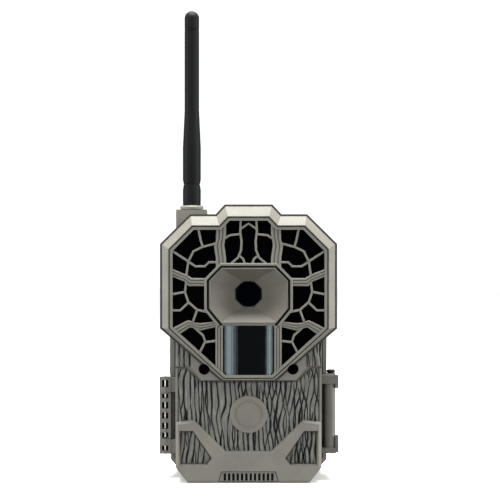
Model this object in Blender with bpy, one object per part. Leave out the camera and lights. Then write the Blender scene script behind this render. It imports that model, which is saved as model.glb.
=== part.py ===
"""Trail camera with a hinged front, a stepped octagonal hood and a whip antenna.

The front faces -Y, +X is the latch side, +Z is up, and Z = 0 is the base it stands on.
Sizes below are in millimetres; the helpers turn them into metres.
"""
import math

import bmesh
import bpy
from mathutils import Matrix, Vector

MM = 0.001
GAP = 0.3                                   # clearance between neighbouring pieces

# ---- driving dimensions -------------------------------------------------------------------
FRONT_Y = -35.0                             # tip of the hood
BACK_Y = 35.0                               # back of the tree bracket
DOOR_BACK_Y = -3.0                          # where the door meets the rear shell
COVER_FACE_Y = -24.2                        # flat front of the lower cover
REAR_FRONT_Y = DOOR_BACK_Y + GAP
REAR_BACK_Y = 25.0
WALL = 2.2
PANEL_FRONT_Y, PANEL_BACK_Y = -6.0, -3.8    # the door's inner panel
HINGE_X, HINGE_Y, HINGE_R = -47.4, -5.5, 3.2
PIN_R, PIN_BORE_R = 0.95, 1.2
REAR_KNUCKLE = (22.6, 48.2)                 # foot and top of each hinge knuckle
DOOR_KNUCKLES = ((13.7, 22.3), (48.5, 57.4))
REAR_WINDOWS = ((22.9, 25.9), (28.0, 31.5), (33.8, 37.3), (39.6, 43.2), (45.4, 47.9))
DOOR_WINDOWS = ((15.6, 18.5), (51.7, 55.7))
LATCH_X, LATCH_Y = 47.4, 4.0                # axis of the latch lever's pin
LATCH_R = 2.6                               # of the latch's barrel and knuckles
LATCH_Z = (15.3, 58.7)                      # foot and top of the lever
LATCH_BARREL_Z = (18.7, 54.0)
LATCH_BAR_X, LATCH_BAR_Y, LATCH_BAR_R = 45.9, -13.8, 3.1
ANTENNA_X, ANTENNA_Y = -32.9, 8.0
ANTENNA_TOP_Z = 268.0
PEDESTAL_HALF, PEDESTAL_Z = 8.7, (118.0, 152.8)
PORT_Y, PORT_Z = (6.0, 18.0), (71.5, 92.5)  # mouth of the port recess
INSERT_Y, INSERT_TOP_Z, INSERT_R = 12.0, 9.6, 5.0
THREAD_R = 3.175                            # a quarter-inch tripod screw
LENS_Z = 105.1
PIR_Z = (60.9, 87.8)
EYE_X, EYE_Z, EYE_R = 24.6, 63.6, 2.8       # the small round eyes below the hood
CELL_R, CELL_LENGTH = 7.25, 50.5            # AA cells
CELL_Y = 12.6
CELL_X = (-22.8, -7.6, 7.6, 22.8)
TIER_Z = (17.5, 74.0)                       # foot of each tier of cells

# Outlines as (x, z), right half from the bottom up; the left half mirrors it.
REAR_HALF = ((36.0, 0.0), (44.6, 10.0), (44.6, 128.0), (32.0, 141.0))
COVER_HALF = ((34.1, 0.0), (40.8, 8.6), (40.8, 63.9), (34.4, 63.9), (26.8, 56.9))
UPPER_HALF = ((27.0, 57.25), (34.5, 64.25), (40.8, 64.25), (40.8, 79.2), (44.6, 82.5),
              (44.6, 131.0), (31.0, 144.6))
HOOD_HALF = ((16.0, 57.6), (49.0, 86.2), (49.0, 133.0), (32.4, 149.4), (18.2, 149.4), (13.2, 154.8))
FACE_HALF = ((15.4, 60.0), (43.9, 86.3), (43.9, 129.9), (31.0, 142.8), (16.0, 142.8), (11.3, 147.8))
FLANGE_HALF = ((26.3, 57.4), (32.1, 64.4), (32.1, 74.0))
PANEL_HALF = ((33.0, 2.6), (38.3, 9.2), (38.3, 80.3), (42.0, 83.6), (42.0, 129.8), (29.9, 142.0))
FUNNEL_HALF = ((15.0, 89.1), (21.8, 97.4), (21.8, 112.5), (14.7, 119.8))
BRACE_HALF = ((33.9, 0.3), (40.5, 8.8), (40.5, 33.9), (30.3, 35.0), (12.9, 17.9))
BRACE_WINDOW = ((38.1, 28.6), (31.0, 28.6), (20.8, 13.8), (23.2, 10.5), (37.8, 10.5))

# Centre lines of the grille's thin ribs, left side of the hood.
THIN_RIB = 1.5
THIN_RIBS = (
    ((-27.8, 141.8), (-26.3, 134.5), (-25.3, 131.6)),
    ((-17.2, 133.4), (-25.3, 131.3), (-30.4, 128.9), (-33.2, 123.3), (-34.4, 114.8)),
    ((-42.6, 129.4), (-33.2, 123.3)),
    ((-32.6, 122.8), (-29.3, 120.6), (-24.1, 120.6), (-21.9, 122.8), (-17.2, 122.9)),
    ((-4.3, 146.4), (-4.6, 139.4), (-3.9, 134.5), (-4.1, 129.6), (-5.8, 125.4), (-9.6, 122.2)),
    ((-13.2, 135.9), (-10.4, 137.7), (-4.4, 138.4)),
    ((-4.3, 141.3), (0.0, 144.2), (4.3, 141.3)),
    ((-4.8, 126.2), (-3.0, 124.7), (-2.0, 121.9)),
    ((-34.3, 112.0), (-35.1, 106.5), (-33.2, 100.9), (-28.3, 96.6), (-22.8, 95.4)),
    ((-43.0, 105.0), (-35.0, 106.5)),
    ((-43.0, 96.3), (-37.7, 96.3), (-33.0, 100.7)),
    ((-28.3, 96.6), (-30.6, 90.2)),
    ((-30.0, 87.0), (-25.1, 82.6), (-23.9, 79.1), (-27.0, 73.0)),
    ((-24.0, 78.8), (-17.0, 79.6)),
)
# Outlines of the grille's broad ribs, left side.
BROAD_RIBS = (
    ((-17.8, 142.2), (-18.1, 134.5), (-19.1, 131.7), (-18.1, 125.4), (-18.1, 119.5), (-12.2, 121.2),
     (-12.2, 122.6), (-13.3, 132.4), (-12.3, 138.7), (-12.4, 144.6)),
    ((-43.0, 119.5), (-33.9, 115.9), (-31.1, 114.2), (-23.6, 114.2), (-23.6, 109.6), (-33.2, 109.6),
     (-35.3, 112.1), (-43.0, 115.1)),
    ((-42.8, 86.2), (-33.2, 91.0), (-29.7, 89.6), (-26.5, 89.3), (-17.4, 90.6), (-16.8, 87.2),
     (-26.5, 85.1), (-30.0, 86.5), (-32.5, 86.8), (-38.4, 83.0)),
)
PILLAR = ((-18.3, 62.8), (-14.1, 60.4), (-14.1, 88.0), (-18.3, 91.8))


# ---- helpers ------------------------------------------------------------------------------
def mirrored(half):
    """The whole outline from its right half."""
    return list(half) + [(-x, z) for x, z in reversed(half)]


def offset(outline, distance):
    """The outline moved outwards by distance, or inwards where that is negative."""
    area = sum(a[0] * b[1] - b[0] * a[1] for a, b in zip(outline, outline[1:] + outline[:1]))
    turn = 1 if area > 0 else -1
    moved = []
    for i, point in enumerate(outline):
        before = (Vector(point) - Vector(outline[i - 1])).normalized()
        after = (Vector(outline[(i + 1) % len(outline)]) - Vector(point)).normalized()
        normals = [Vector((side.y, -side.x)) * turn for side in (before, after)]
        middle = (normals[0] + normals[1]).normalized()
        moved.append(tuple(Vector(point) + middle * distance / middle.dot(normals[0])))
    return moved


def material(name, color, roughness, metallic=0.0):
    """A Principled material, made once for each name."""
    found = bpy.data.materials.get(name)
    if found:
        return found
    made = bpy.data.materials.new(name)
    made.use_nodes = True
    shader = made.node_tree.nodes["Principled BSDF"]
    shader.inputs["Base Color"].default_value = (*color, 1.0)
    shader.inputs["Roughness"].default_value = roughness
    shader.inputs["Metallic"].default_value = metallic
    return made


FINISHES = {
    "housing": ((0.30, 0.28, 0.23), 0.55, 0.0),
    "grille": ((0.24, 0.23, 0.19), 0.55, 0.0),
    "black_window": ((0.004, 0.004, 0.006), 0.08, 0.0),
    "glass": ((0.01, 0.012, 0.02), 0.05, 0.0),
    "inner_plastic": ((0.03, 0.03, 0.03), 0.5, 0.0),
    "antenna_black": ((0.015, 0.017, 0.02), 0.45, 0.0),
    "rubber": ((0.02, 0.02, 0.02), 0.8, 0.0),
    "steel": ((0.6, 0.6, 0.6), 0.3, 1.0),
    "brass": ((0.7, 0.5, 0.2), 0.3, 1.0),
    "circuit": ((0.02, 0.12, 0.05), 0.5, 0.0),
    "cell": ((0.05, 0.05, 0.06), 0.35, 0.3),
    "screen": ((0.02, 0.03, 0.04), 0.1, 0.0),
}


def add(name, bm, finish=None):
    """An object from a bmesh whose measures are in millimetres."""
    bmesh.ops.scale(bm, vec=(MM, MM, MM), verts=bm.verts)
    bmesh.ops.recalc_face_normals(bm, faces=bm.faces)
    mesh = bpy.data.meshes.new(name)
    bm.to_mesh(mesh)
    bm.free()
    thing = bpy.data.objects.new(name, mesh)
    bpy.context.scene.collection.objects.link(thing)
    if finish:
        mesh.materials.append(material(finish, *FINISHES[finish]))
    return thing


def loft(name, sections, finish=None):
    """A solid through outlines of (x, z), each at its own y."""
    bm = bmesh.new()
    rings = [[bm.verts.new((x, y, z)) for x, z in outline] for y, outline in sections]
    for first, second in zip(rings, rings[1:]):
        for i in range(len(first)):
            bm.faces.new((first[i - 1], first[i], second[i], second[i - 1]))
    bm.faces.new(rings[0])
    bm.faces.new(rings[-1])
    return add(name, bm, finish)


def prism(name, outline, front, back, finish=None):
    """An outline of (x, z) extruded along y."""
    return loft(name, [(front, outline), (back, outline)], finish)


def block(name, low, high, finish=None):
    """A box from its lowest to its highest corner."""
    bm = bmesh.new()
    size = Vector(high) - Vector(low)
    middle = (Vector(high) + Vector(low)) / 2
    bmesh.ops.create_cube(bm, size=1.0, matrix=Matrix.Translation(middle) @ Matrix.Diagonal((*size, 1)))
    return add(name, bm, finish)


def rod(name, radius, start, end, finish=None, sides=16, end_radius=None):
    """A cylinder or cone from start to end, shaded smooth."""
    bm = bmesh.new()
    run = Vector(end) - Vector(start)
    place = Matrix.Translation((Vector(start) + Vector(end)) / 2)
    place @= run.to_track_quat('Z', 'Y').to_matrix().to_4x4()
    bmesh.ops.create_cone(bm, cap_ends=True, segments=sides, radius1=radius,
                          radius2=radius if end_radius is None else end_radius,
                          depth=run.length, matrix=place)
    return smooth(add(name, bm, finish))


def turned(name, profile, centre, finish=None, sides=20):
    """A solid turned about a vertical axis at centre (x, y), from (radius, z) points bottom to top."""
    bm = bmesh.new()
    points = [bm.verts.new((centre[0] + r, centre[1], z)) for r, z in profile]
    edges = [bm.edges.new(pair) for pair in zip(points, points[1:])]
    bmesh.ops.spin(bm, geom=points + edges, cent=(*centre, 0), axis=(0, 0, 1),
                   angle=2 * math.pi, steps=sides, use_merge=True)
    bmesh.ops.remove_doubles(bm, verts=bm.verts, dist=0.0001)
    return smooth(add(name, bm, finish))


def smooth(thing):
    """Rounds the shading, but keeps edges sharper than 40 degrees."""
    thing.data.shade_smooth()
    thing.data.set_sharp_from_angle(angle=math.radians(40))
    return thing


def strip(name, path, width, front, back):
    """A rib of even width along a path of (x, z)."""
    sides = ([], [])
    for i, point in enumerate(path):
        run = Vector(path[min(i + 1, len(path) - 1)]) - Vector(path[max(i - 1, 0)])
        across = Vector((-run.y, run.x)).normalized() * width / 2
        sides[0].append(tuple(Vector(point) + across))
        sides[1].append(tuple(Vector(point) - across))
    return prism(name, sides[0] + sides[1][::-1], front, back)


def combine(thing, tools, operation):
    """Joins tools to a piece or cuts them from it, then removes the tools."""
    for tool in tools:
        change = thing.modifiers.new(tool.name, 'BOOLEAN')
        change.operation = operation
        change.object = tool
    graph = bpy.context.evaluated_depsgraph_get()
    shaped = bpy.data.meshes.new_from_object(thing.evaluated_get(graph), depsgraph=graph)
    thing.modifiers.clear()
    thing.data = shaped
    for tool in tools:
        bpy.data.objects.remove(tool)
    return thing


def join(thing, *tools):
    return combine(thing, tools, 'UNION')


def cut(thing, *tools):
    return combine(thing, tools, 'DIFFERENCE')


def on_axis(name, place, *things):
    """Parents pieces to an empty that marks their joint's axis."""
    pivot = bpy.data.objects.new(name, None)
    pivot.location = Vector(place) * MM
    bpy.context.scene.collection.objects.link(pivot)
    bpy.context.view_layer.update()
    for thing in things:
        thing.parent = pivot
        thing.matrix_parent_inverse = pivot.matrix_world.inverted()


# ---- rear half ----------------------------------------------------------------------------
def hinge_windows(name, rows):
    """Cutters for the windows in the hinge barrel through which the pin shows."""
    return [block(f"{name}_{i}", (HINGE_X - 1.8, HINGE_Y - 5, low), (HINGE_X + 1.8, HINGE_Y, high))
            for i, (low, high) in enumerate(rows)]


def hinge_barrel(name, low, high):
    """A knuckle of the hinge, round behind and square in front."""
    barrel = rod(name, HINGE_R, (HINGE_X, HINGE_Y, low), (HINGE_X, HINGE_Y, high), sides=20)
    front = block(name + "_front", (HINGE_X - HINGE_R + 0.02, HINGE_Y - 3.0, low + 0.01),
                  (HINGE_X + HINGE_R - 0.02, HINGE_Y - 0.1, high - 0.01))
    return join(barrel, front)


def make_rear_shell():
    outline = mirrored(REAR_HALF)
    shell = loft("rear_shell", [(REAR_FRONT_Y, outline), (REAR_BACK_Y - 3, outline),
                                (REAR_BACK_Y, offset(outline, -3.0))], "housing")
    pedestal = block("pedestal", (ANTENNA_X - PEDESTAL_HALF, ANTENNA_Y - PEDESTAL_HALF, PEDESTAL_Z[0]),
                     (ANTENNA_X + PEDESTAL_HALF, ANTENNA_Y + PEDESTAL_HALF, PEDESTAL_Z[1]))
    barrel = hinge_barrel("barrel", *REAR_KNUCKLE)
    web = block("web", (HINGE_X - 2.9, HINGE_Y + 1.0, REAR_KNUCKLE[0] + GAP), (-44.0, 5.0, REAR_KNUCKLE[1] - GAP))
    low, high = LATCH_BARREL_Z
    latch_barrel = rod("latch_barrel", LATCH_R, (LATCH_X, LATCH_Y, low), (LATCH_X, LATCH_Y, high), sides=20)
    latch_web = block("latch_web", (44.0, LATCH_Y - 1.6, low + 0.2), (LATCH_X, LATCH_Y + 1.6, high - 0.2))
    mouth = block("mouth", (40.0, PORT_Y[0], PORT_Z[0]), (48.0, PORT_Y[1], PORT_Z[1]))
    nail_notch = block("nail_notch", (43.4, 10.0, PORT_Z[1] - 0.5), (48.0, 14.0, PORT_Z[1] + 1.5))
    join(shell, pedestal, barrel, web, latch_barrel, latch_web)
    cut(shell,
        prism("gasket_seat", offset(outline, -WALL), REAR_FRONT_Y - 2, -0.4),
        prism("ledge", offset(outline, -6.2), -1.0, 2.0),
        prism("cavity", offset(outline, -WALL), 1.6, REAR_BACK_Y - WALL),
        rod("pin_bore", PIN_BORE_R, (HINGE_X, HINGE_Y, 20), (HINGE_X, HINGE_Y, 50)),
        mouth,
        nail_notch,
        rod("lever_bore", 1.6, (LATCH_X, LATCH_Y, 10), (LATCH_X, LATCH_Y, 63)),
        rod("antenna_bore", 2.2, (ANTENNA_X, ANTENNA_Y, 125), (ANTENNA_X, ANTENNA_Y, 154)),
        *hinge_windows("rear_window", REAR_WINDOWS))
    join(shell, rod("boss", INSERT_R + 3.0, (0, INSERT_Y, 1.0), (0, INSERT_Y, 10.0), sides=20))
    cut(shell, rod("insert_hole", INSERT_R + GAP, (0, INSERT_Y, -1), (0, INSERT_Y, 11), sides=20))


def make_rear_parts():
    outline = mirrored(REAR_HALF)
    gasket = prism("door_gasket", offset(outline, -3.7), REAR_FRONT_Y, -0.7, "rubber")
    cut(gasket, prism("inside", offset(outline, -5.7), -5, 5))
    insert = rod("tripod_insert", INSERT_R, (0, INSERT_Y, 0.2), (0, INSERT_Y, INSERT_TOP_Z), "brass", sides=20)
    cut(insert, rod("thread", THREAD_R, (0, INSERT_Y, -1), (0, INSERT_Y, 11), sides=20))
    rod("hinge_pin", PIN_R, (HINGE_X, HINGE_Y, 14.6), (HINGE_X, HINGE_Y, 56.6), "steel")

    collar = turned("antenna_collar", ((0, 153.1), (6.7, 153.1), (6.7, 154.6), (6.1, 155.4), (0, 155.4)),
                    (ANTENNA_X, ANTENNA_Y), "housing", sides=24)
    cut(collar, rod("collar_bore", 3.6, (ANTENNA_X, ANTENNA_Y, 150), (ANTENNA_X, ANTENNA_Y, 157)))
    turned("antenna_connector", ((0, 131.0), (1.9, 131.0), (1.9, 153.1), (3.2, 153.1), (3.2, 161.0), (0, 161.0)),
           (ANTENNA_X, ANTENNA_Y), "brass", sides=16)


def make_antenna():
    """The screwed-on whip: base, groove, straight grip, taper, slim top and domed tip."""
    tip_z = ANTENNA_TOP_Z - 4.2
    dome = [(4.2 * math.cos(math.radians(a)), tip_z + 4.2 * math.sin(math.radians(a))) for a in (0, 25, 50, 72)]
    profile = [(0, 161.4), (3.6, 161.4), (3.6, 155.8), (5.2, 155.8), (5.2, 166.9), (4.8, 167.2), (4.8, 168.3),
               (5.2, 168.6), (5.2, 189.5), (4.2, 209.9), *dome, (0, ANTENNA_TOP_Z)]
    whip = turned("antenna", profile, (ANTENNA_X, ANTENNA_Y), "antenna_black", sides=24)
    on_axis("antenna_axis", (ANTENNA_X, ANTENNA_Y, 155.8), whip)


def make_batteries():
    tray = block("battery_tray", (-32.4, 4.2, 10.5), (32.4, 22.3, 129.6), "inner_plastic")
    pockets = [block(f"pocket_{i}", (-30.8, 2.0, low - 3.7), (30.8, 20.8, low + CELL_LENGTH + 3.7))
               for i, low in enumerate(TIER_Z)]
    cut(tray, *pockets)
    for tier, foot in enumerate(TIER_Z):
        for column, x in enumerate(CELL_X):
            name = f"battery_cell_{tier * len(CELL_X) + column + 1}"
            nub = foot + CELL_LENGTH - 1.2
            turned(name, ((0, foot), (CELL_R, foot), (CELL_R, nub), (2.7, nub), (2.7, foot + CELL_LENGTH),
                          (0, foot + CELL_LENGTH)), (x, CELL_Y), "cell", sides=16)
    for name, low, springs in (("contact_bottom", 14.1, True), ("contact_middle", 70.4, True),
                               ("contact_top", 124.8, False)):
        plate = block(name, (-30.0, 7.0, low), (30.0, 18.0, low + 0.8), "steel")
        if springs:
            join(plate, *[rod(f"spring_{x}", 3.6, (x, CELL_Y, low + 0.5), (x, CELL_Y, low + 3.1),
                              sides=12, end_radius=2.2) for x in CELL_X])


def make_tree_bracket():
    """The plate on the back: two bars with a strap slot through both, and teeth that bite the bark."""
    bracket = block("tree_bracket", (-29.0, REAR_BACK_Y + GAP, 40.0), (29.0, 27.8, 116.0), "housing")
    for side in (-1, 1):
        low, high = sorted((side * 18.0, side * 27.0))
        bar = block("bar", (low, 27.4, 44.0), (high, 33.8, 112.0))
        teeth = [prism(f"tooth_{i}", ((low, z), (high, z), (high, z + 7), (low, z + 7)), 33.4, BACK_Y)
                 for i, z in enumerate((46.0, 74.5, 103.0))]
        join(bracket, bar, *teeth)
    cut(bracket, block("strap_slot", (-40, 27.9, 60.0), (40, 32.2, 96.0)))
    for i, (x, z) in enumerate(((-12, 46), (12, 46), (-12, 110), (12, 110))):
        cut(bracket, rod("hole", 1.7, (x, 20, z), (x, 40, z)))
        screw_along_y(f"bracket_screw_{i + 1}", x, z, 28.1, 25.3)


def screw_along_y(name, x, z, head_y, tip_y):
    """A pan-head screw along y, from the seat of its head to its tip."""
    away = 1 if head_y > tip_y else -1
    screw = rod(name, 2.8, (x, head_y, z), (x, head_y + away * 1.6, z), "steel", sides=12, end_radius=2.3)
    join(screw, rod("shank", 1.3, (x, head_y + away * 0.5, z), (x, tip_y, z), sides=12))


def make_latch():
    """The lever: two arms and a rounded bar, pinned at both ends of the rear shell's barrel."""
    low, high = LATCH_Z
    lever = rod("latch_lever", LATCH_BAR_R, (LATCH_BAR_X, LATCH_BAR_Y, low + 1.5),
                (LATCH_BAR_X, LATCH_BAR_Y, high - 1.5), "housing", sides=20)
    arms = []
    for i, (z, size) in enumerate(((low, 3.0), (high - 4.3, 4.3))):
        arms.append(rod(f"knuckle_{i}", LATCH_R, (LATCH_X, LATCH_Y, z + 0.02), (LATCH_X, LATCH_Y, z + size - 0.02),
                        sides=20))
        arms.append(block(f"arm_{i}", (41.3, -17.4, z), (49.2, REAR_FRONT_Y - 1.0, z + size)))
        arms.append(block(f"link_{i}", (LATCH_X - 2.4, -6.0, z + 0.1), (LATCH_X + 1.7, LATCH_Y, z + size - 0.1)))
    plate = block("plate", (46.3, LATCH_BAR_Y, low + 1.0), (48.9, LATCH_Y - LATCH_R - 0.8, high - 1.0))
    tabs = [block(f"tab_{i}", (48.8, -16.8, z), (50.6, -9.0, z + size))
            for i, (z, size) in enumerate(((low + 0.4, 9.2), (high - 6.8, 7.0)))]
    join(lever, *arms, plate, *tabs)
    cut(lever, rod("bore", 1.7, (LATCH_X, LATCH_Y, 10), (LATCH_X, LATCH_Y, 65)))
    on_axis("latch_axis", (LATCH_X, LATCH_Y, 37), lever)
    turned("latch_pin", ((0, 13.9), (2.0, 13.9), (2.0, 15.0), (1.3, 15.0), (1.3, 59.0), (2.4, 59.0), (2.4, 60.3),
                         (1.9, 60.7), (0, 60.7)), (LATCH_X, LATCH_Y), "steel", sides=16)


def make_ports():
    block("usb_port", (35.0, 7.0, 73.0), (42.6, 11.0, 82.0), "steel")
    jack = block("dc_jack", (33.0, 12.0, 80.5), (42.6, 17.4, 91.5), "inner_plastic")
    cut(jack, rod("jack_bore", 2.2, (40, 14.7, 86), (46, 14.7, 86), sides=12))
    foot = PORT_Z[0] + GAP
    flap = block("port_flap", (43.0, PORT_Y[0] + GAP, foot), (44.5, PORT_Y[1] - GAP, PORT_Z[1] - GAP), "rubber")
    on_axis("flap_axis", (44.5, 12, foot), flap)


# ---- door ---------------------------------------------------------------------------------
def make_front_cover():
    outline = mirrored(COVER_HALF)
    cover = prism("front_cover", outline, COVER_FACE_Y, DOOR_BACK_Y, "housing")
    brace = loft("brace", [(-27.4, offset(mirrored(BRACE_HALF), -0.6)), (-26.8, mirrored(BRACE_HALF)),
                           (COVER_FACE_Y + 1, mirrored(BRACE_HALF))])
    windows = [prism(f"brace_window_{side}", [(side * x, z) for x, z in BRACE_WINDOW], -30, COVER_FACE_Y)
               for side in (-1, 1)]
    cut(brace, *windows)
    knuckles = [hinge_barrel("knuckle", low, high) for low, high in DOOR_KNUCKLES]
    arms = [block("arm", (HINGE_X + 0.5, HINGE_Y - 2.6, low + 0.5), (-39.8, HINGE_Y + 1.8, high - GAP))
            for low, high in DOOR_KNUCKLES]
    join(cover, brace, *knuckles, *arms)
    cut(cover,
        prism("cavity", offset(outline, -WALL), COVER_FACE_Y + WALL, DOOR_BACK_Y + 1),
        prism("panel_seat", offset(mirrored(PANEL_HALF), GAP), PANEL_FRONT_Y - GAP, DOOR_BACK_Y + 1),
        rod("pin_bore", PIN_BORE_R, (HINGE_X, HINGE_Y, 10), (HINGE_X, HINGE_Y, 60)),
        block("mic_slot", (-15.9, -30, 0.9), (15.9, -25.0, 6.6)),
        *hinge_windows("door_window", DOOR_WINDOWS))


def make_hood():
    upper = mirrored(UPPER_HALF)
    face = mirrored(FACE_HALF)
    hood = prism("hood", upper, COVER_FACE_Y, DOOR_BACK_Y, "housing")
    shroud = loft("shroud", [(FRONT_Y, face), (FRONT_Y + 4.4, mirrored(HOOD_HALF)), (-9.0, mirrored(HOOD_HALF))])
    flange = prism("flange", mirrored(FLANGE_HALF), -28.6, COVER_FACE_Y + 1)
    join(hood, shroud, flange)
    eyes = [rod("eye", EYE_R, (side * EYE_X, -40, EYE_Z), (side * EYE_X, -20, EYE_Z)) for side in (-1, 1)]
    cut(hood,
        prism("cavity", offset(upper, -WALL - 0.3), -26.0, DOOR_BACK_Y + 1),
        prism("opening", offset(face, -0.5), FRONT_Y - 1, -25.5),
        prism("panel_seat", offset(mirrored(PANEL_HALF), GAP), PANEL_FRONT_Y - GAP, DOOR_BACK_Y + 1),
        *eyes)


def make_grille():
    border = offset(mirrored(FACE_HALF), -0.9)
    funnel = mirrored(FUNNEL_HALF)
    grille = prism("hood_grille", border, -34.6, -32.4, "grille")
    cut(grille, prism("inside", offset(border, -1.3), -36, -30))
    ring = prism("ring", offset(funnel, 2.5), -34.5, -32.5)
    cut(ring, prism("ring_hole", offset(funnel, 1.3), -36, -30))
    parts = [ring]
    for side in (1, -1):
        parts += [prism("broad", [(side * x, z) for x, z in rib], -34.3, -32.6) for rib in BROAD_RIBS]
        parts.append(prism("pillar", [(side * x, z) for x, z in PILLAR], -34.4, -32.5))
        parts += [strip("thin", [(side * x, z) for x, z in rib], THIN_RIB, -34.0, -32.8)
                  for rib in THIN_RIBS if side > 0 or rib[0][0] != -rib[-1][0]]
    join(grille, *parts)
    cut(grille, prism("funnel_hole", offset(funnel, 1.3), -36, -30),
        block("pir_hole", (-14.1, -36, PIR_Z[0] - 0.4), (14.1, -30, PIR_Z[1] + 3)))
    combine(grille, [prism("edge", border, -36, -30)], 'INTERSECT')


def make_optics():
    face = mirrored(FACE_HALF)
    funnel = mirrored(FUNNEL_HALF)
    window = prism("ir_window", offset(face, -1.2), -32.1, -30.6, "black_window")
    cut(window, prism("funnel_hole", offset(funnel, 0.5), -40, -20),
        block("pir_hole", (-14.4, -40, 50), (14.4, -20, 92)))

    board = prism("led_board", offset(face, -6.0), -25.2, -23.8, "circuit")
    cut(board, prism("funnel_hole", offset(funnel, 0.5), -40, -20),
        block("pir_hole", (-16.5, -40, 50), (16.5, -20, 92)))
    spots = [(side * x, z) for side in (-1, 1) for x in (28.0, 34.5) for z in (88.5, 96.5, 104.5, 112.5, 120.5)]
    spots += [(x, 127.5) for x in (-30, -22, -14, -6, 6, 14, 22, 30)]
    spots += [(x, 135.5) for x in (-24, -16, -8, 0, 8, 16, 24)]
    join(board, *[rod(f"led_{i}", 2.5, (x, -24.5, z), (x, -29.6, z), sides=8, end_radius=1.7)
                  for i, (x, z) in enumerate(spots)])

    throat = [(7.4 * math.cos(a) / math.cos(math.pi / 8), LENS_Z + 7.0 * math.sin(a) / math.cos(math.pi / 8))
              for a in [math.radians(-67.5 + 45 * i) for i in range(8)]]
    cone = loft("lens_funnel", [(-34.9, funnel), (-33.0, funnel), (-22.6, offset(throat, 1.8)),
                                (-20.0, offset(throat, 1.8))], "housing")
    cut(cone, loft("flare", [(-35.2, offset(funnel, -0.8)), (-34.3, offset(funnel, -1.0)), (-24.6, throat),
                             (-18.0, throat)]))
    rod("lens_barrel", 6.6, (0, -25.0, LENS_Z), (0, -14.4, LENS_Z), "inner_plastic", sides=20)
    rod("lens_glass", 6.5, (0, -25.3, LENS_Z), (0, -27.4, LENS_Z), "glass", sides=20, end_radius=4.6)

    arc = [(15.0 * math.sin(a), -31.6 - 2.4 * (math.cos(a * 1.36))) for a in
           [math.radians(-66 + 12 * i) for i in range(12)]]
    inner = [(x * 0.93, y + 1.1) for x, y in arc]
    bm = bmesh.new()
    ends = [[bm.verts.new((x, y, z)) for x, y in arc + inner[::-1]] for z in PIR_Z]
    for i in range(len(ends[0])):
        bm.faces.new((ends[0][i - 1], ends[0][i], ends[1][i], ends[1][i - 1]))
    bm.faces.new(ends[0])
    bm.faces.new(ends[1])
    smooth(add("pir_lens", bm, "black_window"))
    rod("pir_sensor", 4.6, (0, -24.0, 74.0), (0, -19.0, 74.0), "steel", sides=16)
    for name, x in (("light_sensor", -EYE_X), ("indicator_led", EYE_X)):
        rod(name, EYE_R - 0.4, (x, -27.2, EYE_Z), (x, -25.0, EYE_Z), "glass", sides=12)


def make_electronics():
    block("main_board", (-35.0, -13.0, 67.0), (35.0, -11.4, 134.0), "circuit")
    block("image_sensor", (-6.0, -14.1, LENS_Z - 6), (6.0, -13.3, LENS_Z + 6), "inner_plastic")
    block("lcd_screen", (-22.5, -8.6, 92.3), (22.5, -4.4, 125.7), "screen")
    slot = block("card_slot", (-28.0, -10.6, 15.0), (2.0, -6.4, 43.0), "steel")
    cut(slot, block("throat", (-25.0, -9.9, 16.6), (4.0, -7.1, 41.4)))
    card = block("memory_card", (-24.4, -9.6, 17.0), (8.0, -7.5, 41.0), "inner_plastic")
    on_axis("card_axis", (0, -8.5, 29), card)


BUTTONS = {"up": (-14.0, 83.0), "down": (-14.0, 67.0), "left": (-22.0, 75.0), "right": (-6.0, 75.0),
           "ok": (-14.0, 75.0), "menu": (9.0, 75.0)}
SWITCH_X, SWITCH_Z = 24.0, 75.0


def make_inner_panel():
    panel = prism("inner_panel", mirrored(PANEL_HALF), PANEL_FRONT_Y, PANEL_BACK_Y, "inner_plastic")
    cut(panel,
        block("screen_hole", (-21.0, -8, 94.0), (21.0, 0, 124.0)),
        block("screen_seat", (-22.8, -8, 92.0), (22.8, -4.1, 126.0)),
        block("card_hole", (2.3, -8, 16.0), (27.0, 0, 42.0)),
        block("switch_hole", (SWITCH_X - 2.3, -8, SWITCH_Z - 7.0), (SWITCH_X + 2.3, 0, SWITCH_Z + 7.0)),
        *[rod(f"hole_{name}", 3.3, (x, -8, z), (x, 0, z), sides=20) for name, (x, z) in BUTTONS.items()])
    for name, (x, z) in BUTTONS.items():
        button = rod(f"button_{name}", 2.9, (x, -9.0, z), (x, -2.9, z), "rubber", sides=16, end_radius=2.7)
        on_axis(f"{name}_axis", (x, -4, z), button)
    switch = block("power_switch", (SWITCH_X - 1.9, -8.6, SWITCH_Z - 2.4), (SWITCH_X + 1.9, -3.0, SWITCH_Z + 2.4),
                   "inner_plastic")
    on_axis("switch_axis", (SWITCH_X, -4, SWITCH_Z), switch)
    for i, (x, z) in enumerate(((-31, 9), (31, 9), (-36, 116), (36, 116))):
        cut(panel, rod("hole", 1.7, (x, -10, z), (x, 0, z)))
        screw_along_y(f"panel_screw_{i + 1}", x, z, PANEL_BACK_Y + GAP, -9.0)


def make_front_trim():
    grille = block("sound_grille", (-15.5, -27.2, 1.2), (15.5, -25.4, 6.3), "housing")
    pitch = 2.4
    slots = [block(f"slot_{i}", ((i - 5.5) * pitch - 0.55, -28, 1.9), ((i - 5.5) * pitch + 0.55, -26.2, 5.6))
             for i in range(12)]
    cut(grille, *slots)
    badge = rod("badge", 10.4, (0, -24.5, 38.2), (0, -26.6, 38.2), "housing", sides=32)
    cut(badge, rod("dish", 8.2, (0, -26.1, 38.2), (0, -28, 38.2), sides=32))


def make_camera():
    make_rear_shell()
    make_rear_parts()
    make_antenna()
    make_batteries()
    make_tree_bracket()
    make_latch()
    make_ports()
    before = set(bpy.context.scene.objects)
    make_front_cover()
    make_hood()
    make_grille()
    make_optics()
    make_electronics()
    make_inner_panel()
    make_front_trim()
    door = [thing for thing in bpy.context.scene.objects if thing not in before and not thing.parent]
    on_axis("door_axis", (HINGE_X, HINGE_Y, 35), *door)


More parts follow.
